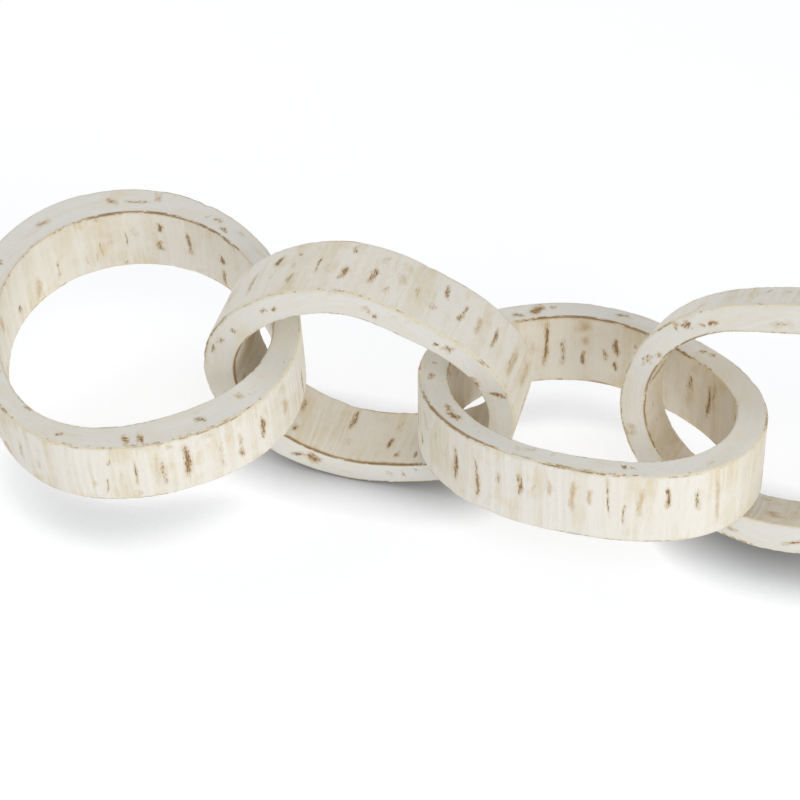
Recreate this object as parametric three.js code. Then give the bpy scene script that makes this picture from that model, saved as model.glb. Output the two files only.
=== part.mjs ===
// Wooden chain lying loose on a floor: four broad hand-cut oval links, threaded
// through one another. The first and third lie nearly flat, on the bottom arcs of
// the second and fourth, which stand on edge on the floor. Millimetres, +Z up, +X
// along the chain, -Y towards the side from which the chain is usually seen. The
// origin is the centre of the footprint, on the floor.
import * as THREE from "three";

// Driving dimensions of the stock the links are cut from.
const LINK_RADIUS = 93; // mean outer radius of a middling link
const BOARD = 50.5; // thickness of the board, which is the width of each band
const WALL = 18; // mean thickness of the band between outer and inner wall
const OUTER_ARRIS = 1.6; // rubbed-down outer edges of the band
const INNER_ARRIS = 1.0; // rubbed-down inner edges of the band
const FLATS = 96; // planed flats round each wall

// A link's outline is a circle drawn out into an oval, with a little egg shape and
// squareness left by the saw. Each of those is [amount, direction in degrees], as
// is the thickening of the wall on one side and on two opposite sides, and the
// bulge that rounds one side out.
// at is the place of the link's centre over the floor. heading turns the line about
// which the link tips, and tilt is how far its axis tips from upright towards -Y.
// lift is how far the lowest point stays off the floor.
const LINKS = [
  {
    name: "left_flat_link",
    at: [-201.9, 22.4],
    heading: -15.2,
    tilt: 9.1,
    lift: 25.4,
    radius: LINK_RADIUS + 11.7,
    wall: WALL + 0.9,
    oval: [0.059, -52],
    egg: [0.036, 8],
    square: [0.015, -18],
    bulge: [0.065, 187],
    thickSide: [0.08, 106],
    thickEnds: [0.191, -43],
  },
  {
    name: "left_standing_link",
    at: [-59.7, -10.4],
    heading: -15.0,
    tilt: 90.2,
    lift: 0,
    radius: LINK_RADIUS - 7.8,
    wall: WALL + 0.5,
    oval: [0.138, -3],
    egg: [0.025, -10],
    square: [0.022, -1],
    bulge: [0, 0],
    thickSide: [0.108, 158],
    thickEnds: [0.043, 2],
  },
  {
    name: "right_flat_link",
    at: [76.0, -45.5],
    heading: 6.0,
    tilt: -4.6,
    lift: 29.9,
    radius: LINK_RADIUS + 1.2,
    wall: WALL - 0.6,
    oval: [0.139, -33],
    egg: [0.027, -42],
    square: [0.011, -31],
    bulge: [0, 0],
    thickSide: [0.078, 63],
    thickEnds: [0.142, -27],
  },
  {
    name: "right_standing_link",
    at: [200.5, -64.8],
    heading: -19.3,
    tilt: 65.0,
    lift: 0,
    radius: LINK_RADIUS - 3.4,
    wall: WALL,
    oval: [0.157, 2],
    egg: [0.013, 52],
    square: [0.019, -9],
    bulge: [0, 0],
    thickSide: [0.048, 28],
    thickEnds: [0.037, -75],
  },
];

// A wave of the given number of lobes round the link, largest in its direction.
function lobes(count, [amount, direction], angle) {
  return amount * Math.cos(count * (angle - THREE.MathUtils.degToRad(direction)));
}

// A swelling of one side only, gone a quarter turn away from its middle.
function swelling([amount, direction], angle) {
  const across = Math.cos(angle - THREE.MathUtils.degToRad(direction));
  return amount * Math.max(0, across) ** 5;
}

function outerRadius(link, angle) {
  const oval = lobes(2, link.oval, angle) + swelling(link.bulge, angle);
  const corners = lobes(3, link.egg, angle) + lobes(4, link.square, angle);
  return link.radius * (1 + oval + corners);
}

function innerRadius(link, angle) {
  const swell = lobes(1, link.thickSide, angle) + lobes(2, link.thickEnds, angle);
  return outerRadius(link, angle) - link.wall * (1 + swell);
}

// Cross-section of the band at one angle, as [radius, height] pairs that run round
// the section with the wood on their left.
function bandSection(link, angle) {
  const outer = outerRadius(link, angle);
  const inner = innerRadius(link, angle);
  const top = BOARD / 2;
  return [
    [outer, -top + OUTER_ARRIS],
    [outer, top - OUTER_ARRIS],
    [outer - OUTER_ARRIS, top],
    [inner + INNER_ARRIS, top],
    [inner, top - INNER_ARRIS],
    [inner, -top + INNER_ARRIS],
    [inner + INNER_ARRIS, -top],
    [outer - OUTER_ARRIS, -top],
  ];
}

// The closed band, with its axis along Z and its centre at the origin.
function linkGeometry(link) {
  const positions = [];
  const faces = [];
  let corners = 0;
  for (let step = 0; step < FLATS; step += 1) {
    const angle = (step / FLATS) * 2 * Math.PI;
    const section = bandSection(link, angle);
    corners = section.length;
    for (const [radius, height] of section) {
      positions.push(radius * Math.cos(angle), radius * Math.sin(angle), height);
    }
  }
  for (let step = 0; step < FLATS; step += 1) {
    const here = step * corners;
    const next = ((step + 1) % FLATS) * corners;
    for (let corner = 0; corner < corners; corner += 1) {
      const beside = (corner + 1) % corners;
      faces.push(here + corner, next + corner, next + beside);
      faces.push(here + corner, next + beside, here + beside);
    }
  }
  const geometry = new THREE.BufferGeometry();
  geometry.setAttribute("position", new THREE.Float32BufferAttribute(positions, 3));
  geometry.setIndex(faces);
  geometry.computeVertexNormals();
  return geometry;
}

// Puts a link in its place, resting at its lift above the floor.
function placeLink(link, mesh) {
  const tilt = THREE.MathUtils.degToRad(link.tilt);
  const heading = THREE.MathUtils.degToRad(link.heading);
  mesh.rotation.set(tilt, 0, heading, "ZXY");
  mesh.position.set(link.at[0], link.at[1], 0);
  mesh.updateMatrixWorld(true);
  const box = new THREE.Box3().setFromObject(mesh, true);
  mesh.position.z = link.lift - box.min.z;
  mesh.updateMatrixWorld(true);
}

const chain = new THREE.Group();
chain.name = "wooden_chain";

for (const link of LINKS) {
  const limedWood = new THREE.MeshStandardMaterial({
    color: 0xe3ded0,
    roughness: 0.8,
    metalness: 0,
  });
  limedWood.name = `${link.name}_limed_wood`;
  const mesh = new THREE.Mesh(linkGeometry(link), limedWood);
  mesh.name = link.name;
  placeLink(link, mesh);
  chain.add(mesh);
}

// The origin goes to the centre of the footprint, at floor level.
const reach = new THREE.Box3().setFromObject(chain, true);
const middle = reach.getCenter(new THREE.Vector3());
for (const mesh of chain.children) {
  mesh.position.x -= middle.x;
  mesh.position.y -= middle.y;
  mesh.position.z -= reach.min.z;
  mesh.updateMatrixWorld(true);
}

export default chain;
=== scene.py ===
"""Looks of a whitewashed wooden chain: four broad hand-cut oval links, threaded through
one another and lying loose on a pale floor. Metres, +Z up, +X along the chain."""

import math

import bpy
import numpy as np
from bpy.props import FloatProperty, FloatVectorProperty, PointerProperty
from bpy.types import Operator, Panel, PropertyGroup
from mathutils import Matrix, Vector


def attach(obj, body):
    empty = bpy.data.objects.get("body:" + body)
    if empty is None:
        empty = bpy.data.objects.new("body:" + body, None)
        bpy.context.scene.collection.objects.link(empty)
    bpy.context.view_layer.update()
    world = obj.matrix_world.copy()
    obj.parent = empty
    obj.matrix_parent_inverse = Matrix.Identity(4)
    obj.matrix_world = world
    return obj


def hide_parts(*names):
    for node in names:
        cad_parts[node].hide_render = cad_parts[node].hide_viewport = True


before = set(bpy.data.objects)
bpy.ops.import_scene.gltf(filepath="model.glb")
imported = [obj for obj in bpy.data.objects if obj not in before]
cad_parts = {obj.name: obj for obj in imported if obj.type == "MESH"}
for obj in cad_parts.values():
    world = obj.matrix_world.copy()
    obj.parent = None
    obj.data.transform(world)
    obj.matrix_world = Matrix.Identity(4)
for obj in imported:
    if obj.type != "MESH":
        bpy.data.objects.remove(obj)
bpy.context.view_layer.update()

bl_info = {
    "name": "Whitewashed wooden chain",
    "version": (1, 0, 0),
    "blender": (4, 5, 0),
    "location": "View3D > Sidebar > Wooden chain",
    "description": "Builds the links of a worn, whitewashed wooden chain and the floor it lies on",
    "category": "Add Mesh",
}

MM = 0.001

# Outline of each link, as the frame has it: a circle drawn out into an oval, with a little
# egg shape, squareness and a bulge on one side. Each is (amount, direction in degrees).
# centre is in millimetres, heading and tilt are in degrees. stain is how much painted
# shade browns and darkens the wash of the inner wall, the enclosed inside of the link.
LINKS = {
    "left_flat_link": dict(
        centre=(-201.85, 22.41, 67.19), heading=-15.2, tilt=9.1, radius=104.7, wall=18.9,
        oval=(0.059, -52), egg=(0.036, 8), square=(0.015, -18), bulge=(0.065, 187),
        thick_side=(0.08, 106), thick_ends=(0.191, -43), stain=0.05, seed=11,
    ),
    "left_standing_link": dict(
        centre=(-59.65, -10.39, 74.52), heading=-15.0, tilt=90.2, radius=85.2, wall=18.5,
        oval=(0.138, -3), egg=(0.025, -10), square=(0.022, -1), bulge=(0, 0),
        thick_side=(0.108, 158), thick_ends=(0.043, 2), stain=0.35, seed=23,
    ),
    "right_flat_link": dict(
        centre=(76.05, -45.49, 62.31), heading=6.0, tilt=-4.6, radius=94.2, wall=17.4,
        oval=(0.139, -33), egg=(0.027, -42), square=(0.011, -31), bulge=(0, 0),
        thick_side=(0.078, 63), thick_ends=(0.142, -27), stain=0.65, seed=37,
    ),
    "right_standing_link": dict(
        centre=(200.55, -64.79, 80.23), heading=-19.3, tilt=65.0, radius=89.6, wall=18.0,
        oval=(0.157, 2), egg=(0.013, 52), square=(0.019, -9), bulge=(0, 0),
        thick_side=(0.048, 28), thick_ends=(0.037, -75), stain=0.6, seed=53,
    ),
}

# Wear of the outer wall, the inner wall and the upper rim of each link. The two angles bound the
# stretch, in degrees round the link, whose marks are all given here; the rest gets chance marks.
# Each mark is its kind, its angle, how far up the wall or out on the rim it is, its half length
# and half width in millimetres, its lean and its strength.
WEAR = {
    "left_flat_link": {
        "outer": (-92, -6, (
            ("bare", -80, 11.1, 3.9, 0.9, 0.05, 0.50), ("bare", -82, -11.4, 8.9, 0.5, 0.13, 0.70),
            ("bare", -72, 0.4, 14.2, 0.7, -0.03, 0.70), ("tan", -72, -18.5, 3.1, 1.5, -0.17, 0.50),
            ("tan", -65, 0.7, 19.1, 0.9, 0.05, 0.40), ("dark", -63, -2.8, 14.8, 1.3, 0.05, 0.65),
            ("bare", -55, 2.4, 16.9, 1.4, 0.00, 1.00), ("dark", -43, -3.8, 15.2, 1.1, 0.04, 0.45),
            ("bare", -36, 1.7, 7.6, 1.0, 0.01, 0.50), ("bare", -36, -9.3, 5.9, 1.2, -0.02, 0.80),
            ("bare", -27, 0.4, 11.7, 1.1, -0.06, 1.00), ("tan", -16, -0.3, 8.3, 1.7, -0.13, 0.70),
            ("tan", -16, 16.4, 6.8, 2.0, -0.02, 0.40), ("tan", -60, 18.9, 2.2, 2.1, -0.31, 0.50),
            ("tan", -47, 19.6, 2.5, 2.0, -0.41, 0.40), ("tan", -86, -9.9, 4.9, 1.0, 0.01, 0.40),
            ("tan", -77, -2.7, 7.8, 0.9, 0.05, 0.30),
        )),
        "inner": (62, 130, (
            ("bare", 125, 21.3, 1.9, 1.3, 0.04, 0.70), ("bare", 125, -5.2, 7.2, 0.5, 0.05, 0.60),
            ("bare", 127, -11.2, 4.7, 0.5, -0.07, 0.50), ("bare", 114, 0.6, 7.5, 0.6, 0.00, 0.60),
            ("bare", 116, -21.8, 1.9, 1.0, 0.04, 0.60), ("bare", 99, 11.1, 5.0, 1.2, 0.15, 0.90),
            ("bare", 100, -5.5, 5.6, 1.4, 0.12, 0.90), ("bare", 86, 3.2, 10.2, 1.0, 0.02, 0.90),
            ("tan", 86, -6.0, 2.7, 1.7, 0.16, 0.70), ("bare", 68, 1.2, 4.2, 1.7, 0.03, 0.90),
            ("bare", 68, -15.1, 8.7, 1.2, 0.07, 0.80), ("tan", 121, -1.1, 2.8, 1.9, -0.02, 0.40),
            ("tan", 110, 6.2, 7.0, 1.6, -0.03, 0.30), ("dark", 83, -20.5, 1.5, 1.4, 0.60, 0.50),
        )),
        "rim": (-94, 124, (
            ("bare", 117, 0.0, 4.4, 1.4, 0.17, 0.80), ("dark", 108, -1.3, 9.7, 0.8, -0.01, 0.80),
            ("tan", 100, 4.8, 3.3, 2.7, -0.02, 0.50), ("bare", 100, 1.5, 2.6, 1.3, -0.08, 0.50),
            ("tan", 94, 8.1, 2.0, 1.3, -0.05, 0.40), ("dark", 78, -0.4, 2.3, 0.9, -0.38, 0.50),
            ("dark", 73, 0.9, 4.1, 1.1, -0.19, 0.80), ("dark", 68, -3.0, 4.0, 0.9, -0.14, 0.90),
            ("dark", 61, 2.1, 4.5, 0.9, -0.20, 0.40), ("bare", -74, 2.4, 3.3, 1.9, 0.32, 0.80),
            ("bare", -69, 3.7, 2.7, 2.1, 0.21, 0.90), ("dark", -72, 7.2, 5.9, 0.6, 0.14, 0.70),
            ("dark", -47, 1.0, 4.1, 1.3, 0.20, 0.90), ("bare", -30, -2.2, 3.0, 1.8, 0.44, 0.60),
            ("dark", -27, 1.0, 0.9, 0.9, 0.00, 0.70), ("dark", -25, 2.6, 1.1, 0.9, 0.00, 0.50),
            ("dark", -9, 4.2, 0.6, 0.5, 0.00, 0.60), ("dark", -86, 7.1, 1.2, 0.5, 0.00, 0.60),
        )),
    },
    "left_standing_link": {
        "outer": (-2, 140, (
            ("bare", 132, -10.4, 5.2, 1.7, 0.14, 0.90), ("bare", 122, -13.1, 1.8, 1.2, -0.14, 0.80),
            ("bare", 123, -1.8, 2.9, 1.0, 0.15, 0.60), ("bare", 122, 10.7, 5.4, 1.2, -0.02, 0.70),
            ("dark", 133, 4.2, 2.3, 1.2, -0.04, 0.70), ("dark", 111, -0.5, 9.4, 0.7, 0.00, 0.90),
            ("bare", 97, -15.7, 4.0, 0.9, 0.03, 0.60), ("bare", 98, 6.3, 7.0, 1.3, 0.11, 1.00),
            ("tan", 97, -18.1, 5.0, 1.6, -0.03, 0.40), ("bare", 85, 2.9, 8.5, 1.3, 0.05, 0.80),
            ("dark", 86, 0.8, 1.9, 1.5, -0.11, 0.50), ("dark", 77, 10.9, 4.6, 1.0, -0.08, 0.60),
            ("tan", 82, -14.4, 4.8, 1.5, 0.12, 0.40), ("tan", 72, -3.7, 5.9, 2.1, 0.00, 0.40),
            ("bare", 63, 1.2, 6.6, 0.9, -0.13, 0.50), ("tan", 71, -15.5, 4.9, 1.8, -0.01, 0.30),
            ("bare", 51, -11.0, 7.0, 1.0, -0.23, 0.80), ("dark", 41, -5.3, 5.6, 0.7, 0.15, 0.90),
            ("bare", 42, 3.2, 4.9, 1.0, 0.14, 0.80), ("tan", 34, 0.5, 8.5, 1.2, -0.07, 0.70),
            ("bare", 34, -5.0, 3.8, 0.6, 0.00, 0.60), ("bare", 26, -1.3, 10.5, 0.8, 0.04, 0.90),
            ("tan", 15, 1.3, 16.2, 1.4, 0.03, 0.70), ("bare", 16, 1.3, 7.3, 0.7, -0.04, 0.70),
            ("tan", 6, -5.9, 13.7, 2.0, -0.01, 0.70), ("tan", 56, 6.1, 3.6, 1.8, -0.10, 0.40),
            ("bare", 54, 6.7, 2.8, 1.2, -0.04, 0.50), ("tan", 106, 4.0, 5.9, 1.0, -0.08, 0.30),
        )),
        "inner": (-136, -50, (
            ("bare", -132, -6.7, 6.2, 1.1, 0.04, 0.90), ("bare", -131, 14.0, 3.9, 1.2, -0.03, 0.80),
            ("bare", -101, -12.0, 11.4, 1.3, -0.15, 0.80), ("tan", -99, 8.7, 4.8, 1.6, 0.01, 0.30),
            ("bare", -71, -11.7, 4.5, 0.8, -0.39, 0.50), ("bare", -73, 4.8, 6.2, 1.1, 0.01, 1.00),
            ("bare", -66, 15.4, 2.9, 1.2, -0.18, 0.90), ("bare", -55, 15.3, 3.8, 0.9, -0.08, 0.80),
            ("dark", -126, -23.7, 0.6, 1.0, 0.00, 0.60),
        )),
        "rim": (-128, 170, (
            ("dark", 137, 0.7, 3.3, 1.0, -0.10, 0.80), ("bare", 132, -0.6, 2.5, 0.9, -0.16, 0.80),
            ("dark", 157, 0.0, 2.1, 1.3, 0.06, 0.90), ("dark", 165, 3.0, 3.4, 1.2, 0.05, 0.70),
            ("dark", 83, 0.1, 4.2, 1.6, 0.32, 0.60), ("dark", 78, -2.6, 1.7, 1.2, 0.23, 1.00),
            ("dark", 69, 3.0, 3.3, 1.4, -0.22, 0.35), ("dark", 62, 4.7, 2.0, 1.4, 0.01, 0.30),
            ("dark", 44, -1.2, 1.9, 1.2, 0.23, 1.00), ("bare", 39, 0.5, 4.1, 2.1, 0.25, 0.60),
            ("dark", 20, -6.6, 2.4, 1.1, 0.09, 1.00), ("bare", 17, -6.8, 2.8, 1.3, -0.03, 0.80),
            ("bare", 11, 2.2, 3.0, 2.1, -0.52, 1.00), ("dark", 11, 2.7, 1.5, 1.2, -0.40, 1.00),
            ("dark", -122, 0.7, 4.7, 1.4, -0.31, 0.80), ("bare", -114, -1.5, 6.0, 2.0, 0.02, 0.90),
            ("dark", -114, -3.2, 4.0, 0.9, 0.46, 0.90), ("dark", -71, -0.3, 2.8, 1.3, 0.18, 0.50),
            ("bare", -63, 0.1, 0.6, 1.3, 0.00, 1.00), ("dark", -64, 1.0, 0.6, 0.7, 0.00, 1.00),
            ("dark", -55, -3.9, 1.3, 0.8, 0.40, 0.60),
        )),
    },
    "right_flat_link": {
        "outer": (180, 310, (
            ("tan", -179, 8.7, 7.1, 2.6, -0.22, 0.40), ("dark", -171, 10.3, 7.5, 1.2, -0.08, 0.40),
            ("bare", -159, -1.1, 13.0, 1.2, -0.04, 0.95),
            ("bare", -149, 5.0, 7.3, 0.8, -0.16, 0.70),
            ("bare", -148, -7.5, 9.7, 0.9, 0.04, 0.90), ("dark", -139, 3.7, 5.3, 1.3, -0.14, 0.70),
            ("bare", -129, 4.2, 8.8, 1.1, -0.08, 0.85), ("dark", -123, 4.6, 2.6, 0.8, -0.03, 0.60),
            ("tan", -116, 7.4, 7.3, 1.0, -0.07, 0.60), ("tan", -106, 4.8, 12.7, 1.1, -0.01, 0.70),
            ("bare", -106, 8.7, 6.7, 0.5, 0.01, 0.50), ("tan", -99, 6.0, 6.3, 0.9, -0.06, 0.85),
            ("dark", -92, 7.8, 15.8, 0.5, -0.09, 0.85), ("dark", -86, -4.1, 9.0, 0.5, -0.03, 0.85),
            ("tan", -80, 5.9, 11.6, 0.9, 0.03, 0.70), ("bare", -81, 3.4, 4.5, 0.5, 0.04, 0.50),
            ("bare", -71, 8.3, 9.0, 0.8, -0.02, 1.00), ("dark", -61, 4.0, 9.6, 1.1, -0.13, 0.80),
            ("tan", -54, -0.3, 20.2, 0.9, -0.09, 0.70), ("tan", -97, -7.4, 0.6, 0.5, 0.00, 0.30),
            ("tan", -164, 1.8, 12.5, 1.4, -0.04, 0.30), ("tan", 178, 22.9, 1.0, 2.0, -0.60, 0.50),
        )),
        "inner": (2, 112, (
            ("bare", 101, 4.6, 19.2, 1.0, -0.06, 0.95), ("dark", 93, -2.9, 12.1, 1.2, -0.05, 0.80),
            ("tan", 83, 18.0, 5.1, 2.2, -0.27, 0.70), ("tan", 82, 6.7, 4.4, 1.4, -0.18, 0.70),
            ("bare", 83, -6.3, 6.3, 0.9, -0.01, 1.00), ("bare", 72, -1.4, 5.3, 1.1, 0.10, 0.70),
            ("bare", 66, 6.1, 7.5, 1.4, 0.07, 1.00), ("bare", 66, -8.4, 4.3, 1.0, -0.03, 0.90),
            ("bare", 55, 11.2, 2.2, 1.0, 0.06, 0.70), ("tan", 107, 1.2, 6.5, 1.0, -0.07, 0.40),
            ("tan", 76, -23.2, 1.0, 1.6, 0.00, 0.50), ("dark", 18, 5.8, 7.0, 1.3, -0.21, 0.80),
            ("tan", 18, -2.5, 13.7, 2.0, 0.02, 0.50), ("bare", 5, 1.2, 13.1, 1.1, -0.01, 0.90),
            ("tan", 15, 18.4, 5.0, 2.3, -0.16, 0.40),
        )),
        "rim": (-178, 166, (
            ("bare", 103, 0.7, 6.2, 2.2, -0.25, 1.00), ("dark", 102, 1.1, 4.5, 1.1, -0.29, 1.00),
            ("dark", 112, -2.1, 4.4, 1.6, 0.07, 0.80), ("dark", 96, 2.3, 3.0, 1.0, -0.25, 0.90),
            ("dark", 65, 1.6, 5.9, 1.2, -0.07, 0.80), ("dark", 20, 1.3, 2.6, 1.6, 0.05, 0.80),
            ("bare", 16, 2.8, 3.1, 1.1, 0.05, 0.70), ("bare", 159, 0.5, 0.9, 0.7, 0.00, 1.00),
            ("bare", -172, -0.2, 4.1, 1.2, 0.20, 0.80), ("bare", -167, 0.4, 6.0, 1.7, 0.13, 0.90),
            ("dark", -174, -1.1, 3.0, 0.7, 0.26, 0.80), ("dark", -153, -0.6, 0.6, 0.8, 0.00, 0.50),
            ("dark", -133, -0.8, 3.2, 1.4, -0.02, 0.40),
            ("dark", -128, -2.9, 4.2, 1.4, -0.09, 0.50),
            ("dark", -117, -2.8, 1.9, 0.9, 0.16, 0.50), ("dark", -85, -1.6, 2.3, 1.5, -0.13, 0.80),
            ("dark", -82, -0.7, 2.1, 0.9, 0.15, 0.70), ("dark", -55, 2.5, 3.9, 0.8, -0.16, 0.50),
            ("bare", -142, 6.1, 2.8, 0.8, -0.14, 0.90), ("bare", -100, 5.4, 0.9, 0.6, 0.00, 0.80),
            ("bare", -64, 7.0, 0.8, 0.7, 0.00, 0.80),
        )),
    },
    "right_standing_link": {
        "outer": (118, 178, ()),
        "inner": (148, 212, (
            ("dark", 175, 0.2, 22.3, 1.5, 0.12, 0.80), ("dark", 173, -3.0, 16.1, 1.4, 0.15, 0.60),
            ("bare", -173, 2.3, 1.5, 1.5, -0.60, 0.70), ("bare", -167, 0.3, 1.3, 1.2, -0.60, 0.60),
            ("tan", -154, -17.9, 1.6, 2.6, -0.60, 0.60),
        )),
        "rim": (132, 200, (
            ("bare", 150, 4.4, 2.2, 1.3, -0.60, 0.80), ("bare", 147, 2.8, 3.4, 1.9, -0.06, 0.80),
            ("bare", 142, -1.0, 1.7, 0.9, 0.60, 0.80), ("bare", 138, -1.4, 3.6, 1.0, -0.28, 0.90),
            ("dark", 168, 0.6, 3.3, 1.0, -0.19, 0.60), ("dark", 166, -1.3, 3.3, 1.5, -0.27, 0.70),
            ("bare", 163, -4.3, 2.4, 1.2, 0.22, 0.60), ("dark", 167, 1.6, 1.1, 0.5, 0.00, 1.00),
            ("tan", -166, 5.9, 3.1, 2.3, -0.30, 0.70), ("tan", -167, 2.5, 4.3, 1.6, -0.22, 0.60),
        )),
    },
}

# Edges of the seen rims that are rubbed brown: which edge, from and to which angle, how much.
RUBBED_EDGES = {
    "left_flat_link": (("inner", 58, 134, 0.7), ("outer", 70, 120, 0.3)),
    "left_standing_link": (("inner", -142, -42, 1.0), ("inner", 160, 205, 0.8)),
    "right_flat_link": (
        ("inner", 12, 116, 0.8), ("outer", 176, 222, 0.9), ("outer", 240, 276, 0.5),
    ),
    "right_standing_link": (("inner", 126, 206, 0.8), ("outer", 150, 215, 0.3)),
}

# The same for the lower rims, and the wear of a rim that has chance marks all the way round.
RUBBED_UNDERSIDE = (("inner", 30, 90, 0.5), ("outer", 250, 300, 0.5))
CHANCE_ONLY = (0, -1, ())

# Points round the cross-section of a band: along each wall, across each rim, round an arris.
WALL_POINTS = 23
RIM_POINTS = 21
ARRIS_POINTS = 4
STEPS = 940

# Unevenness of the hand work, in metres: the least that a face lies inside the drawn outline,
# the slow waves of the walls and of the rims, the hollows of worn marks, and how far the plane
# cuts run askew.
FACE_SLACK = 0.0002
WALL_WAVE = 0.00028
RIM_WAVE = 0.0004
BARE_HOLLOW = 0.00022
DARK_HOLLOW = 0.0004
CUT_DRIFT = 0.0011

# How far the colour of an edge reaches from it, in metres.
OUTER_EDGE_REACH = 0.0016
INNER_EDGE_REACH = 0.0013
SMEAR_REACH = 0.005

# How far the faint part of a mark spreads beyond its half width, and how many chips an edge has.
MARK_SPREAD = 1.7
CHIPS = 16

# Texture of the wash: how many features there are to a metre, how fine and how rough they are.
TEXTURE = {
    "hairs": (1700, 3, 0.6), "brush": (360, 3, 0.55), "grit": (1050, 3, 0.65),
    "strips": (120, 2, 0.5), "patches": (42, 3, 0.6), "broad": (11, 2, 0.5),
    "ticks": (1500, 2, 0.6), "flecks": (260, 3, 0.65), "lengths": (60, 2, 0.5),
    "specks": (950, 4, 0.7, 0.4),
}

# How strongly each kind of mark shows its tan halo, its brown core and the dark ticks in it, and
# how much of the ragged texture it holds back.
MARKS = {
    "tan": (0.80, 0.45, 0.05, 0.90),
    "bare": (0.85, 0.82, 0.55, 0.80),
    "dark": (0.60, 0.85, 0.90, 0.82),
}

# Size and place of each light, in metres. All are turned to one point in the chain.
LIGHTS = {
    "front_light": ((1.4, 1.1), (1.3, -2.0, 1.2)),
    "high_light": ((1.6, 1.2), (0.1, -1.5, 2.1)),
    "back_light": ((1.4, 1.1), (-1.6, 1.4, 1.5)),
    "top_light": ((2.2, 2.2), (0.0, 0.1, 2.3)),
}
LIGHT_AIM = (0.0, 0.0, 0.05)
CAMERA_AIM = (-0.03825, 0.04231, 0.0)
FILM_WIDTH = 36.0
FARTHEST_SEEN = 60.0


class ChainWood(PropertyGroup):
    """Sizes and colours of the carved and washed wood."""

    board: FloatProperty(
        name="Board", description="Thickness of the board, which is each band's width",
        default=0.0505, min=0.02, unit="LENGTH",
    )
    outer_arris: FloatProperty(
        name="Outer edges", description="How far the outer edges are rubbed round",
        default=0.0019, min=0.0002, unit="LENGTH",
    )
    inner_arris: FloatProperty(
        name="Inner edges", description="How far the inner edges are rubbed round",
        default=0.0012, min=0.0002, unit="LENGTH",
    )
    flute_width: FloatProperty(
        name="Plane cuts", description="Usual width of the plane cuts across the walls",
        default=0.0062, min=0.001, unit="LENGTH",
    )
    flute_depth: FloatProperty(
        name="Depth of cuts", description="Usual hollow of a plane cut",
        default=0.00022, min=0.0, unit="LENGTH",
    )
    wash: FloatVectorProperty(
        name="Wash", description="Off-white wash where it covers well",
        default=(0.86, 0.825, 0.745), size=3, min=0, max=1, subtype="COLOR",
    )
    thin_wash: FloatVectorProperty(
        name="Thin wash", description="Wash where the wood warms it",
        default=(0.80, 0.735, 0.60), size=3, min=0, max=1, subtype="COLOR",
    )
    cool_wash: FloatVectorProperty(
        name="Cool wash", description="Greyer wash of the sawn faces",
        default=(0.745, 0.745, 0.71), size=3, min=0, max=1, subtype="COLOR",
    )
    cream: FloatVectorProperty(
        name="Cream edges", description="Sanded outer edges",
        default=(0.86, 0.77, 0.53), size=3, min=0, max=1, subtype="COLOR",
    )
    smear: FloatVectorProperty(
        name="Yellow smears", description="Wash rubbed thin over the wood",
        default=(0.74, 0.62, 0.40), size=3, min=0, max=1, subtype="COLOR",
    )
    tan: FloatVectorProperty(
        name="Tan wood", description="Wood that shows through round the marks",
        default=(0.58, 0.42, 0.22), size=3, min=0, max=1, subtype="COLOR",
    )
    bare: FloatVectorProperty(
        name="Bare wood", description="Wood rubbed bare and stained",
        default=(0.29, 0.16, 0.068), size=3, min=0, max=1, subtype="COLOR",
    )
    dark: FloatVectorProperty(
        name="Dark grain", description="Dark wash caught in the marks",
        default=(0.075, 0.045, 0.03), size=3, min=0, max=1, subtype="COLOR",
    )


class ChainStage(PropertyGroup):
    """Floor, light and camera."""

    floor_size: FloatProperty(
        name="Floor", description="Side of the pale floor", default=24.0, min=1.0, unit="LENGTH",
    )
    floor_glow: FloatProperty(
        name="Floor glow", description="Light the white sweep gives back by itself",
        default=0.68, min=0.0, subtype="FACTOR",
    )
    floor_colour: FloatVectorProperty(
        name="Floor colour", description="Colour of the floor under the lights",
        default=(0.405, 0.415, 0.435), size=3, min=0, max=1, subtype="COLOR",
    )
    shadow_reach: FloatProperty(
        name="Shadow reach", description="How far the soft shade at the links spreads",
        default=0.034, min=0.0, unit="LENGTH",
    )
    shadow_depth: FloatProperty(
        name="Shadow depth", description="How strongly the soft shade darkens towards the links",
        default=2.2, min=0.1,
    )
    front_light: FloatProperty(
        name="Front light", description="Power of the broad light in front, to the right",
        default=20.5, min=0.0, unit="POWER",
    )
    high_light: FloatProperty(
        name="High light", description="Power of the broad light high in front",
        default=9.5, min=0.0, unit="POWER",
    )
    back_light: FloatProperty(
        name="Back light", description="Power of the broad light behind, to the left",
        default=14.8, min=0.0, unit="POWER",
    )
    top_light: FloatProperty(
        name="Top light", description="Power of the broad light overhead",
        default=4.0, min=0.0, unit="POWER",
    )
    room_light: FloatProperty(
        name="Room light", description="Strength of the even light from all round",
        default=0.41, min=0.0, subtype="FACTOR",
    )
    camera_distance: FloatProperty(
        name="Camera distance", description="From the camera to the point it looks at",
        default=1.625, min=0.2, unit="LENGTH",
    )
    camera_pitch: FloatProperty(
        name="Camera pitch", description="How far the camera looks down",
        default=math.radians(41.5), unit="ROTATION",
    )
    lens: FloatProperty(
        name="Lens", description="Focal length in millimetres on a 36 mm sensor",
        default=112.5, min=10.0,
    )


def lobes(count, shape, angle):
    """Wave of the given number of lobes round the link, largest in its direction."""
    amount, direction = shape
    return amount * np.cos(count * (angle - math.radians(direction)))


def swelling(shape, angle):
    """Swelling of one side only, gone a quarter turn away from its middle."""
    amount, direction = shape
    return amount * np.maximum(0.0, np.cos(angle - math.radians(direction))) ** 5


def outer_radius(link, angle):
    """Radius of the outer wall at each angle."""
    shape = (
        lobes(2, link["oval"], angle) + swelling(link["bulge"], angle)
        + lobes(3, link["egg"], angle) + lobes(4, link["square"], angle)
    )
    return link["radius"] * MM * (1 + shape)


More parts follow.
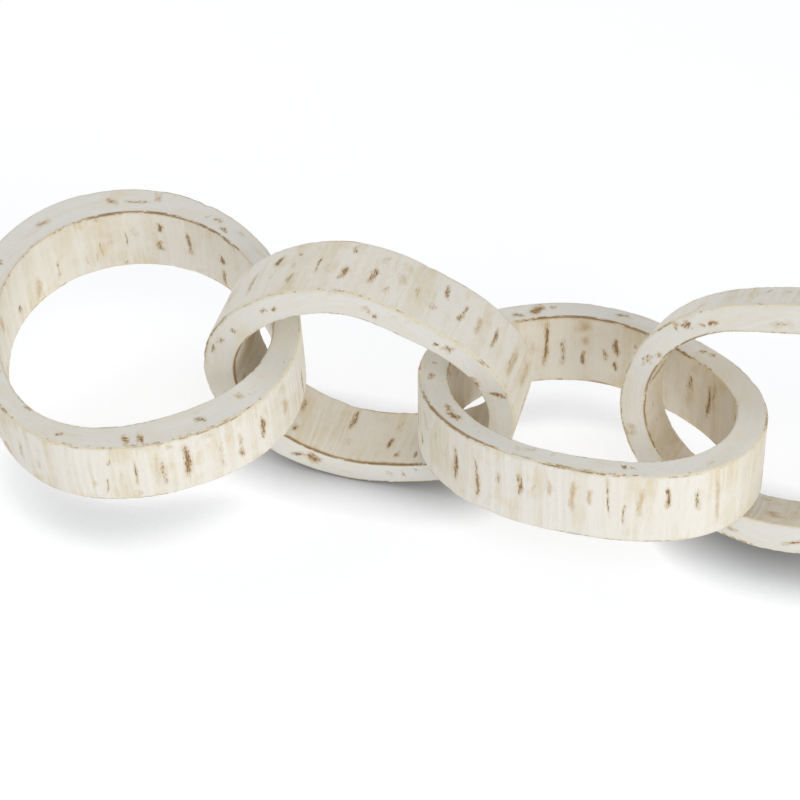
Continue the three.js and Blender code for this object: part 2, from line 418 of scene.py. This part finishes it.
def inner_radius(link, angle):
    """Radius of the inner wall at each angle."""
    swell = lobes(1, link["thick_side"], angle) + lobes(2, link["thick_ends"], angle)
    return outer_radius(link, angle) - link["wall"] * MM * (1 + swell)


def ripple(rng, angle, lowest, highest, fall=1.0):
    """Smooth closed wave round a link, between about -1 and 1."""
    total = np.zeros_like(angle)
    weight = 0.0
    for turns in range(lowest, highest + 1):
        share = (lowest / turns) ** fall
        total += share * np.cos(turns * angle + rng.uniform(0, 2 * math.pi))
        weight += share ** 2
    return total / math.sqrt(weight) * 0.7


def wrapped(angle):
    """The same angle, between minus and plus half a turn."""
    return (angle + math.pi) % (2 * math.pi) - math.pi


def arris_width(rng, angle, usual, radius):
    """How far an edge is rubbed round, with chips knocked out of it here and there."""
    width = usual * (1 + 0.22 * ripple(rng, angle, 3, 30, 0.5))
    for _ in range(CHIPS):
        place = rng.uniform(-math.pi, math.pi)
        reach = rng.uniform(0.0012, 0.0048) / radius
        depth = usual * rng.uniform(0.15, 0.75)
        width = width + depth * np.exp(-(wrapped(angle - place) / reach) ** 2)
    return width


def flutes(rng, wood, radius):
    """Edges, depths and tones of the plane cuts round one wall, as angles and lengths."""
    edges = [0.0]
    while edges[-1] < 2 * math.pi - 0.5 * wood.flute_width / radius:
        edges.append(edges[-1] + wood.flute_width * rng.uniform(0.5, 1.6) / radius)
    edges = np.array(edges) * (2 * math.pi / edges[-1])
    depths = wood.flute_depth * rng.uniform(0.25, 1.5, len(edges) - 1)
    tones = rng.uniform(-1, 1, len(edges) - 1)
    return edges, depths, tones


def plane_cuts(cuts, angle, drift):
    """Hollow and tone of the plane cuts at each angle, the cuts running a little askew."""
    edges, depths, tones = cuts
    place = (angle + drift) % (2 * math.pi)
    which = np.clip(np.searchsorted(edges, place, side="right") - 1, 0, len(depths) - 1)
    across = (place - edges[which]) / (edges[which + 1] - edges[which])
    return depths[which] * 4 * across * (1 - across), tones[which]


def wall_marks(rng, radius, board):
    """Chance streaks across a wall: angle, height, half length, half width, lean, strength and
    kind."""
    marks = []
    place = 0.0
    while place < 2 * math.pi * radius:
        place += rng.uniform(0.009, 0.030)
        kind = rng.choice(["bare", "bare", "dark", "tan"])
        long = rng.uniform(0.003, 0.013)
        marks.append((
            place / radius, rng.uniform(-0.5, 0.5) * (board - 2 * long) * 0.9, long,
            rng.uniform(0.0006, 0.0016) * (1.8 if kind == "tan" else 1.0),
            rng.uniform(-0.09, 0.09), rng.uniform(0.3, 1.0), kind,
        ))
    return marks


def rim_marks(rng, radius, wall):
    """Chance marks along a rim, with their values in the same order as those of a wall."""
    marks = []
    place = 0.0
    while place < 2 * math.pi * radius:
        place += rng.uniform(0.020, 0.055)
        long = rng.uniform(0.002, 0.009)
        marks.append((
            place / radius, rng.uniform(-0.34, 0.34) * wall, long, rng.uniform(0.0007, 0.0018),
            rng.uniform(-0.2, 0.2), rng.uniform(0.5, 1.0), rng.choice(["bare", "dark"]),
        ))
    return marks


def marks_of(chance, given):
    """The given marks of a surface, with the chance ones outside the stretch they cover."""
    start, end, rows = given
    kept = [mark for mark in chance if (math.degrees(mark[0]) - start) % 360 > end - start]
    for kind, at, offset, long, wide, lean, strength in rows:
        kept.append((math.radians(at), offset * MM, long * MM, wide * MM, lean, strength, kind))
    return kept


def paint(marks, along, across, layers):
    """Adds marks to the layers. along runs the way the marks run, across the other way."""
    for centre, offset, long, wide, lean, strength, kind in marks:
        down = along(centre, offset)
        side = across(centre, offset) - lean * down
        beat = centre * 40 + offset * 900
        bend = 0.5 * wide * np.sin(down / long * 2.9 + beat)
        swell = 1 + 0.15 * np.sin(down / long * 5.3 + 2 * beat)
        reach = np.clip(1.15 - np.abs(down / long) ** 2.2, 0, 1)
        value = strength * reach * np.exp(-((side - bend) / (MARK_SPREAD * wide * swell)) ** 2)
        layers[kind] = np.maximum(layers[kind], value)


def edge_wear(rng, rubbed, which, turn):
    """How much an edge is rubbed brown at each angle: as given, with a few chance stretches."""
    chance = [(which, a, a + rng.uniform(15, 50), rng.uniform(0.2, 0.7))
              for a in rng.uniform(0, 360, 4)]
    worn = np.zeros_like(turn)
    for edge, start, end, strength in list(rubbed) + chance:
        if edge == which:
            middle, reach = math.radians((start + end) / 2), math.radians((end - start) / 2)
            window = np.exp(-(wrapped(turn - middle) / reach) ** 6)
            worn = np.maximum(worn, strength * window)
    return worn


def band(link, wear, rubbed, wood):
    """Vertices of one band in its own frame, with the layers its finish reads."""
    rng = np.random.default_rng(link["seed"])
    angle = np.arange(STEPS) * (2 * math.pi / STEPS)
    half = wood.board / 2
    radius = link["radius"] * MM
    wall = link["wall"] * MM
    sweep = WALL_WAVE * ripple(rng, angle, 5, 14)
    outer = outer_radius(link, angle) - FACE_SLACK - 0.6 * np.abs(sweep)
    inner = inner_radius(link, angle) + FACE_SLACK + 0.6 * np.abs(sweep)
    top = half - FACE_SLACK - RIM_WAVE * np.abs(ripple(rng, angle, 2, 9))
    bottom = -half + FACE_SLACK + RIM_WAVE * np.abs(ripple(rng, angle, 2, 9))
    top_outer, top_inner, low_inner, low_outer = (
        arris_width(rng, angle, width, radius) for width in (
            wood.outer_arris, wood.inner_arris, wood.inner_arris, wood.outer_arris)
    )

    # Each point of the section is its radius, its height, its side and how much it is rim. The
    # side is 0 outside, 1 inside and a half on a rim.
    parts = []

    def wall_part(surface, low, high, side):
        for t in np.linspace(0, 1, WALL_POINTS):
            parts.append((surface, low + (high - low) * t, side, 0.0))

    def rim_part(start, end, level):
        for t in np.linspace(0, 1, RIM_POINTS):
            parts.append((start + (end - start) * t, level, 0.5, 1.0))

    def arris_part(surface, level, inwards, down, side, from_wall):
        for step in range(1, ARRIS_POINTS + 1):
            turned = step / (ARRIS_POINTS + 1) * math.pi / 2
            on_wall, on_rim = math.cos(turned), math.sin(turned)
            if not from_wall:
                on_wall, on_rim = on_rim, on_wall
            parts.append((
                surface - inwards * (1 - on_wall), level - down * (1 - on_rim), side, on_rim ** 2,
            ))

    wall_part(outer, bottom + low_outer, top - top_outer, 0.0)
    arris_part(outer, top, top_outer, top_outer, 0.0, True)
    rim_part(outer - top_outer, inner + top_inner, top)
    arris_part(inner, top, -top_inner, top_inner, 1.0, False)
    wall_part(inner, top - top_inner, bottom + low_inner, 1.0)
    arris_part(inner, bottom, -low_inner, -low_inner, 1.0, True)
    rim_part(inner + low_inner, outer - low_outer, bottom)
    arris_part(outer, bottom, low_outer, -low_outer, 0.0, False)

    turn = np.repeat(angle[:, None], len(parts), 1)
    spread = np.stack([part[0] for part in parts], 1)
    height = np.stack([part[1] for part in parts], 1)
    side = np.array([part[2] for part in parts])[None, :].repeat(STEPS, 0)
    rim = np.array([part[3] for part in parts])[None, :].repeat(STEPS, 0)
    middle = ((outer + inner) / 2)[:, None]

    layers = {name: np.zeros_like(turn) for name in MARKS}

    def wear_surface(on, chance, given, along, across):
        level = {name: np.zeros_like(turn) for name in layers}
        paint(marks_of(chance, given), along, across, level)
        for name in layers:
            layers[name] = np.where(on, level[name], layers[name])

    def up_wall(centre, offset):
        return height - offset

    def round_link(centre, offset):
        return wrapped(turn - centre) * spread

    def out_on_rim(centre, offset):
        return spread - middle - offset

    for on, reach, given in (
        ((rim < 0.5) & (side < 0.5), radius, wear["outer"]),
        ((rim < 0.5) & (side > 0.5), radius - wall, wear["inner"]),
    ):
        wear_surface(on, wall_marks(rng, reach, wood.board), given, up_wall, round_link)
    for on, given in (
        ((rim > 0.5) & (height > 0), wear["rim"]), ((rim > 0.5) & (height < 0), CHANCE_ONLY),
    ):
        wear_surface(on, rim_marks(rng, radius, wall), given, round_link, out_on_rim)

    drift = CUT_DRIFT / radius * np.sin(height / half * 2.1 + 3 * turn)
    out_cut, out_tone = plane_cuts(flutes(rng, wood, radius), turn, drift)
    in_cut, in_tone = plane_cuts(flutes(rng, wood, radius), turn, -drift)
    on_wall = 1 - rim
    worn_depth = BARE_HOLLOW * layers["bare"] + DARK_HOLLOW * layers["dark"]
    carve = np.where(side < 0.5, -(out_cut + worn_depth), in_cut + worn_depth) * on_wall
    carve = np.where(side == 0.5, 0, carve)
    sink = -np.sign(height) * worn_depth * np.where(side == 0.5, 1.0, 0.0)
    spread = spread + carve
    height = height + sink
    tone = np.where(side < 0.5, out_tone, in_tone) * on_wall

    points = np.stack([spread * np.cos(turn), spread * np.sin(turn), height], -1)
    gap = np.minimum(np.abs(height - top[:, None]), np.abs(height - bottom[:, None]))
    edge_out = np.hypot(outer[:, None] - spread, gap)
    edge_in = np.hypot(spread - inner[:, None], gap)
    for which in ("inner", "outer"):
        seen = edge_wear(rng, rubbed, which, turn)
        unseen = edge_wear(rng, RUBBED_UNDERSIDE, which, turn)
        layers["worn_" + which] = np.where(height > 0, seen, unseen)
    layers.update(
        rim=rim, tone=tone,
        # painted shade of the inner wall, which browns its wash by the link's own amount
        stain=np.where(side > 0.5, link["stain"], 0.0) * on_wall,
        outer_edge=np.exp(-(edge_out / OUTER_EDGE_REACH) ** 2),
        inner_edge=np.exp(-(edge_in / INNER_EDGE_REACH) ** 2),
        near_edge=np.exp(-gap / SMEAR_REACH) * on_wall,
    )
    # Each link has its own part of the texture. turn_point follows the rim round the link.
    shift = np.array([0.9, 0.4, 0.7]) * link["seed"] * 0.11
    across = np.where(rim > 0.5, spread, height)
    rolled = np.stack([radius * np.cos(turn), radius * np.sin(turn), across], -1)
    layers["grain_point"] = points + shift
    layers["turn_point"] = rolled + shift
    return points, layers


def placed(link, points):
    """Points of a band's own frame in the row frame."""
    heading, tilt = math.radians(link["heading"]), math.radians(link["tilt"])
    about_z = np.array([
        [math.cos(heading), -math.sin(heading), 0],
        [math.sin(heading), math.cos(heading), 0],
        [0, 0, 1],
    ])
    about_x = np.array([
        [1, 0, 0],
        [0, math.cos(tilt), -math.sin(tilt)],
        [0, math.sin(tilt), math.cos(tilt)],
    ])
    return points @ (about_z @ about_x).T + np.array(link["centre"]) * MM


def closed_mesh(name, points):
    """Mesh of a ring of points that closes on itself both ways."""
    steps, corners = points.shape[:2]
    here = np.arange(steps)[:, None] * corners
    ahead = ((np.arange(steps) + 1) % steps)[:, None] * corners
    corner = np.arange(corners)[None, :]
    beside = (corner + 1) % corners
    quads = np.stack([here + corner, ahead + corner, ahead + beside, here + beside], -1)
    quads = quads.reshape(-1, 4)
    mesh = bpy.data.meshes.new(name)
    mesh.vertices.add(steps * corners)
    mesh.vertices.foreach_set("co", points.reshape(-1).astype(np.float32))
    mesh.loops.add(quads.size)
    mesh.loops.foreach_set("vertex_index", quads.reshape(-1).astype(np.int32))
    mesh.polygons.add(len(quads))
    mesh.polygons.foreach_set("loop_start", (np.arange(len(quads)) * 4).astype(np.int32))
    mesh.update(calc_edges=True)
    mesh.validate()
    mesh.polygons.foreach_set("use_smooth", np.ones(len(quads), bool))
    return mesh


def store_layers(mesh, layers):
    """Keeps each layer with the mesh, for the finish to read."""
    for name, values in layers.items():
        if values.ndim == 3:
            attribute = mesh.attributes.new(name, "FLOAT_VECTOR", "POINT")
            attribute.data.foreach_set("vector", values.reshape(-1).astype(np.float32))
        else:
            attribute = mesh.attributes.new(name, "FLOAT", "POINT")
            attribute.data.foreach_set("value", values.reshape(-1).astype(np.float32))


class Finish:
    """Small helper that lays out the nodes of one material."""

    def __init__(self, name):
        self.material = bpy.data.materials.new(name)
        self.material.use_nodes = True
        self.tree = self.material.node_tree
        self.tree.nodes.clear()

    def add(self, kind, **settings):
        node = self.tree.nodes.new(kind)
        for key, value in settings.items():
            setattr(node, key, value)
        return node

    def put(self, socket, value):
        if isinstance(value, bpy.types.NodeSocket):
            self.tree.links.new(value, socket)
        elif socket.type == "RGBA":
            socket.default_value = (*value, 1)
        else:
            socket.default_value = value

    def layer(self, name, part="Fac"):
        return self.add("ShaderNodeAttribute", attribute_name=name).outputs[part]

    def maths(self, operation, one, two):
        node = self.add("ShaderNodeMath", operation=operation)
        self.put(node.inputs[0], one)
        self.put(node.inputs[1], two)
        return node.outputs[0]

    def plus(self, one, two):
        return self.maths("ADD", one, two)

    def times(self, *factors):
        product = factors[0]
        for factor in factors[1:]:
            product = self.maths("MULTIPLY", product, factor)
        return product

    def stretch(self, vector, by):
        node = self.add("ShaderNodeVectorMath", operation="MULTIPLY")
        self.put(node.inputs[0], vector)
        self.put(node.inputs[1], by)
        return node.outputs[0]

    def noise(self, vector, scale, detail, rough, warp=0.0):
        node = self.add("ShaderNodeTexNoise")
        self.put(node.inputs["Vector"], vector)
        settings = {"Scale": scale, "Detail": detail, "Roughness": rough, "Distortion": warp}
        for key, value in settings.items():
            self.put(node.inputs[key], value)
        return node.outputs[0]

    def between(self, value, low, high, to_low=0.0, to_high=1.0):
        node = self.add("ShaderNodeMapRange", interpolation_type="SMOOTHSTEP")
        for socket, v in zip(node.inputs, (value, low, high, to_low, to_high)):
            self.put(socket, v)
        return node.outputs[0]

    def mix(self, factor, one, two):
        node = self.add("ShaderNodeMix", data_type="RGBA")
        self.put(node.inputs[0], factor)
        self.put(node.inputs[6], one)
        self.put(node.inputs[7], two)
        return node.outputs[2]

    def mix_vector(self, factor, one, two):
        node = self.add("ShaderNodeMix", data_type="VECTOR")
        self.put(node.inputs[0], factor)
        self.put(node.inputs[4], one)
        self.put(node.inputs[5], two)
        return node.outputs[1]


def whitewashed_wood(wood):
    """Worn wash over pale wood, brushed across the walls and along the rims."""
    f = Finish("whitewashed_wood")

    layer = f.layer
    grain, turn = layer("grain_point", "Vector"), layer("turn_point", "Vector")
    rim = layer("rim")

    def brushed(on_wall, on_rim):
        """Place drawn out across the walls and along the rims, by the two given shares."""
        across_wall = f.stretch(grain, (1, 1, on_wall))
        return f.mix_vector(rim, across_wall, f.stretch(turn, (on_rim, on_rim, 1)))

    def texture(name, place):
        return f.noise(place, *TEXTURE[name])

    run, long_run, short_run = brushed(0.10, 0.10), brushed(0.03, 0.05), brushed(0.28, 0.35)
    hairs, brush = texture("hairs", run), texture("brush", run)
    grit, strips = texture("grit", short_run), texture("strips", long_run)
    patches, broad = texture("patches", grain), texture("broad", grain)

    # Wash, thinner in strips, greyer on the sawn rims, browned and darkened on the inner walls as
    # painted shade.
    thin = f.plus(f.times(strips, 0.75), f.times(brush, 0.25))
    thin = f.between(f.plus(thin, f.times(layer("tone"), 0.025)), 0.44, 0.60)
    thin = f.times(thin, f.between(patches, 0.36, 0.60, 0.35, 1.0))
    colour = f.mix(thin, wood.wash[:], wood.thin_wash[:])
    greyer = f.plus(f.times(rim, 0.6), f.between(broad, 0.45, 0.65, 0.0, 0.2))
    colour = f.mix(greyer, colour, wood.cool_wash[:])
    lines = f.times(rim, f.between(brush, 0.46, 0.66, 0.0, 0.45))
    colour = f.mix(lines, colour, wood.thin_wash[:])
    colour = f.mix(f.between(hairs, 0.52, 0.76, 0.0, 0.25), colour, wood.tan[:])
    # Painted shade: the wash of the inner walls turned towards tan, more for links whose insides
    # lie deeper in shade.
    stain = f.times(layer("stain"), f.between(patches, 0.25, 0.75, 0.15, 0.5))
    colour = f.mix(stain, colour, wood.tan[:])

    # Yellow smears where the wash is rubbed, most of them near the edges.
    yellow = f.plus(patches, f.times(layer("near_edge"), 0.10))
    smear = f.times(
        f.between(yellow, 0.52, 0.70), f.between(brush, 0.38, 0.62),
        f.between(rim, 0, 1, 0.65, 0.3),
    )
    colour = f.mix(smear, colour, wood.smear[:])

    # Marks: a tan halo, a core of ragged brown streaks and fine dark ticks in it.
    streaks = f.plus(f.times(hairs, 0.5), f.times(grit, 0.7))
    ticks = f.between(texture("ticks", short_run), 0.50, 0.60)
    cores = {}
    for kind, (halo_share, core_share, tick_share, held_back) in MARKS.items():
        value = layer(kind)
        ragged = f.plus(f.times(value, 0.30), f.maths("SUBTRACT", streaks, held_back))
        core = f.times(f.between(ragged, 0.0, 0.07), f.between(value, 0.06, 0.3))
        halo = f.plus(value, f.times(grit, 1.2))
        halo = f.times(f.between(halo, 0.6, 1.5), f.between(value, 0.02, 0.2))
        colour = f.mix(f.times(halo, halo_share), colour, wood.tan[:])
        colour = f.mix(f.times(core, core_share), colour, wood.bare[:])
        colour = f.mix(f.times(core, ticks, tick_share), colour, wood.dark[:])
        cores[kind] = core

    # Edges: pale yellow outside, thin brown where they are rubbed through.
    flecks, lengths = texture("flecks", turn), texture("lengths", turn)
    outer_edge, inner_edge = layer("outer_edge"), layer("inner_edge")
    sanded = f.times(
        f.between(outer_edge, 0.15, 0.85), f.between(lengths, 0.3, 0.6, 0.4, 0.9),
    )
    colour = f.mix(sanded, colour, wood.cream[:])
    colour = f.mix(f.between(inner_edge, 0.10, 0.9, 0.0, 0.55), colour, wood.smear[:])
    for edge, worn, share in ((inner_edge, "worn_inner", 0.85), (outer_edge, "worn_outer", 0.8)):
        bitten = f.plus(f.plus(flecks, lengths), f.times(layer(worn), 0.36))
        brown = f.times(f.between(bitten, 1.06, 1.26), f.between(edge, 0.05, 0.6))
        colour = f.mix(f.times(brown, 0.7), colour, wood.tan[:])
        bitten = f.times(f.between(bitten, 1.12, 1.28), f.between(edge, 0.28, 0.8))
        colour = f.mix(f.times(bitten, share), colour, wood.bare[:])
        colour = f.mix(f.times(bitten, f.times(ticks, 0.45)), colour, wood.dark[:])

    specks = f.between(texture("specks", run), 0.68, 0.76)
    specks = f.times(specks, f.between(broad, 0.35, 0.7, 0.0, 0.6))
    colour = f.mix(specks, colour, wood.bare[:])

    worn = f.maths("MAXIMUM", cores["bare"], cores["dark"])
    rough = f.plus(f.times(worn, 0.16), f.between(brush, 0.3, 0.7, 0.60, 0.74))
    raised = f.plus(f.times(brush, 0.55), f.times(hairs, 0.45))
    raised = f.maths("SUBTRACT", raised, f.times(worn, 0.6))
    bump = f.add("ShaderNodeBump")
    bump.inputs["Strength"].default_value = 0.55
    bump.inputs["Distance"].default_value = 0.0004
    f.put(bump.inputs["Height"], raised)

    shader = f.add("ShaderNodeBsdfPrincipled")
    f.put(shader.inputs["Base Color"], colour)
    f.put(shader.inputs["Roughness"], rough)
    f.put(shader.inputs["Normal"], bump.outputs[0])
    shader.inputs["Specular IOR Level"].default_value = 0.35
    out = f.add("ShaderNodeOutputMaterial")
    f.put(out.inputs["Surface"], shader.outputs[0])
    return f.material


def pale_floor(stage):
    """White sweep that glows a little, less so close under and beside the links: a painted soft
    shadow.
    """
    f = Finish("pale_floor")
    # Painted soft shadow: ambient occlusion dims the floor's glow close under and beside the links.
    near = f.add("ShaderNodeAmbientOcclusion", samples=8)
    near.inputs["Distance"].default_value = stage.shadow_reach
    shade = f.maths("POWER", near.outputs["AO"], stage.shadow_depth)
    shader = f.add("ShaderNodeBsdfPrincipled")
    f.put(shader.inputs["Base Color"], stage.floor_colour[:])
    shader.inputs["Roughness"].default_value = 0.9
    shader.inputs["Specular IOR Level"].default_value = 0.0
    f.put(shader.inputs["Emission Color"], (1.0, 1.0, 1.0))
    f.put(shader.inputs["Emission Strength"], f.times(shade, stage.floor_glow))
    out = f.add("ShaderNodeOutputMaterial")
    f.put(out.inputs["Surface"], shader.outputs[0])
    return f.material


class CHAIN_OT_links(Operator):
    """Carve the links, give them their worn wash and put them where the frame has them"""

    bl_idname = "wooden_chain.links"
    bl_label = "Links"

    def execute(self, context):
        wood = context.scene.chain_wood
        material = whitewashed_wood(wood)
        for name, link in LINKS.items():
            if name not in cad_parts:
                raise RuntimeError(f"the frame has no {name}")
            points, layers = band(link, WEAR[name], RUBBED_EDGES[name], wood)
            mesh = closed_mesh(name + "_carved", placed(link, points))
            store_layers(mesh, layers)
            mesh.materials.append(material)
            piece = bpy.data.objects.new(name + "_carved", mesh)
            context.scene.collection.objects.link(piece)
            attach(piece, "root")
            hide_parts(name)
        return {"FINISHED"}


def broad_light(name, power, size, place):
    """White light of one rectangle, turned to the chain."""
    lamp = bpy.data.lights.new(name, "AREA")
    lamp.energy = power
    lamp.shape = "RECTANGLE"
    lamp.size, lamp.size_y = size
    holder = bpy.data.objects.new(name, lamp)
    holder.location = place
    towards = Vector(LIGHT_AIM) - Vector(place)
    holder.rotation_euler = towards.to_track_quat("-Z", "Y").to_euler()
    bpy.context.scene.collection.objects.link(holder)


class CHAIN_OT_stage(Operator):
    """Lay the pale floor, hang the soft lights and stand the camera"""

    bl_idname = "wooden_chain.stage"
    bl_label = "Stage"

    def execute(self, context):
        stage = context.scene.chain_stage
        half = stage.floor_size / 2
        mesh = bpy.data.meshes.new("pale_floor")
        corners = [(-half, -half, 0), (half, -half, 0), (half, half, 0), (-half, half, 0)]
        mesh.from_pydata(corners, [], [(0, 1, 2, 3)])
        mesh.materials.append(pale_floor(stage))
        floor = bpy.data.objects.new("pale_floor", mesh)
        context.scene.collection.objects.link(floor)

        for name, (size, place) in LIGHTS.items():
            broad_light(name, getattr(stage, name), size, place)

        world = bpy.data.worlds.new("studio")
        context.scene.world = world
        world.use_nodes = True
        tree = world.node_tree
        tree.nodes.clear()
        seen = tree.nodes.new("ShaderNodeBackground")
        seen.inputs[0].default_value = (1, 1, 1, 1)
        seen.inputs[1].default_value = 1.0
        lit = tree.nodes.new("ShaderNodeBackground")
        lit.inputs[0].default_value = (0.98, 0.99, 1.0, 1)
        lit.inputs[1].default_value = stage.room_light
        path = tree.nodes.new("ShaderNodeLightPath")
        mixed = tree.nodes.new("ShaderNodeMixShader")
        out = tree.nodes.new("ShaderNodeOutputWorld")
        tree.links.new(path.outputs["Is Camera Ray"], mixed.inputs[0])
        tree.links.new(lit.outputs[0], mixed.inputs[1])
        tree.links.new(seen.outputs[0], mixed.inputs[2])
        tree.links.new(mixed.outputs[0], out.inputs[0])

        eye = bpy.data.cameras.new("camera")
        eye.lens = stage.lens
        eye.sensor_width = FILM_WIDTH
        eye.clip_end = FARTHEST_SEEN
        camera = bpy.data.objects.new("camera", eye)
        pitch = stage.camera_pitch
        aim_x, aim_y, aim_z = CAMERA_AIM
        camera.location = (
            aim_x, aim_y - stage.camera_distance * math.cos(pitch),
            aim_z + stage.camera_distance * math.sin(pitch),
        )
        camera.rotation_euler = (math.pi / 2 - pitch, 0, 0)
        context.scene.collection.objects.link(camera)
        context.scene.camera = camera
        context.scene.view_settings.view_transform = "Standard"
        context.scene.view_settings.look = "None"
        return {"FINISHED"}


class CHAIN_PT_panel(Panel):
    """Sizes, colours and pieces of the chain"""

    bl_idname = "CHAIN_PT_panel"
    bl_label = "Wooden chain"
    bl_space_type = "VIEW_3D"
    bl_region_type = "UI"
    bl_category = "Wooden chain"

    def draw(self, context):
        for group, operator in (
            (context.scene.chain_wood, CHAIN_OT_links.bl_idname),
            (context.scene.chain_stage, CHAIN_OT_stage.bl_idname),
        ):
            box = self.layout.box()
            for name in group.__annotations__:
                box.prop(group, name)
            box.operator(operator)


CLASSES = (ChainWood, ChainStage, CHAIN_OT_links, CHAIN_OT_stage, CHAIN_PT_panel)


def register():
    for cls in CLASSES:
        bpy.utils.register_class(cls)
    bpy.types.Scene.chain_wood = PointerProperty(type=ChainWood)
    bpy.types.Scene.chain_stage = PointerProperty(type=ChainStage)


def unregister():
    del bpy.types.Scene.chain_stage
    del bpy.types.Scene.chain_wood
    for cls in reversed(CLASSES):
        bpy.utils.unregister_class(cls)


def main():
    register()
    bpy.ops.wooden_chain.links()
    bpy.ops.wooden_chain.stage()


if __name__ == "__main__":
    main()
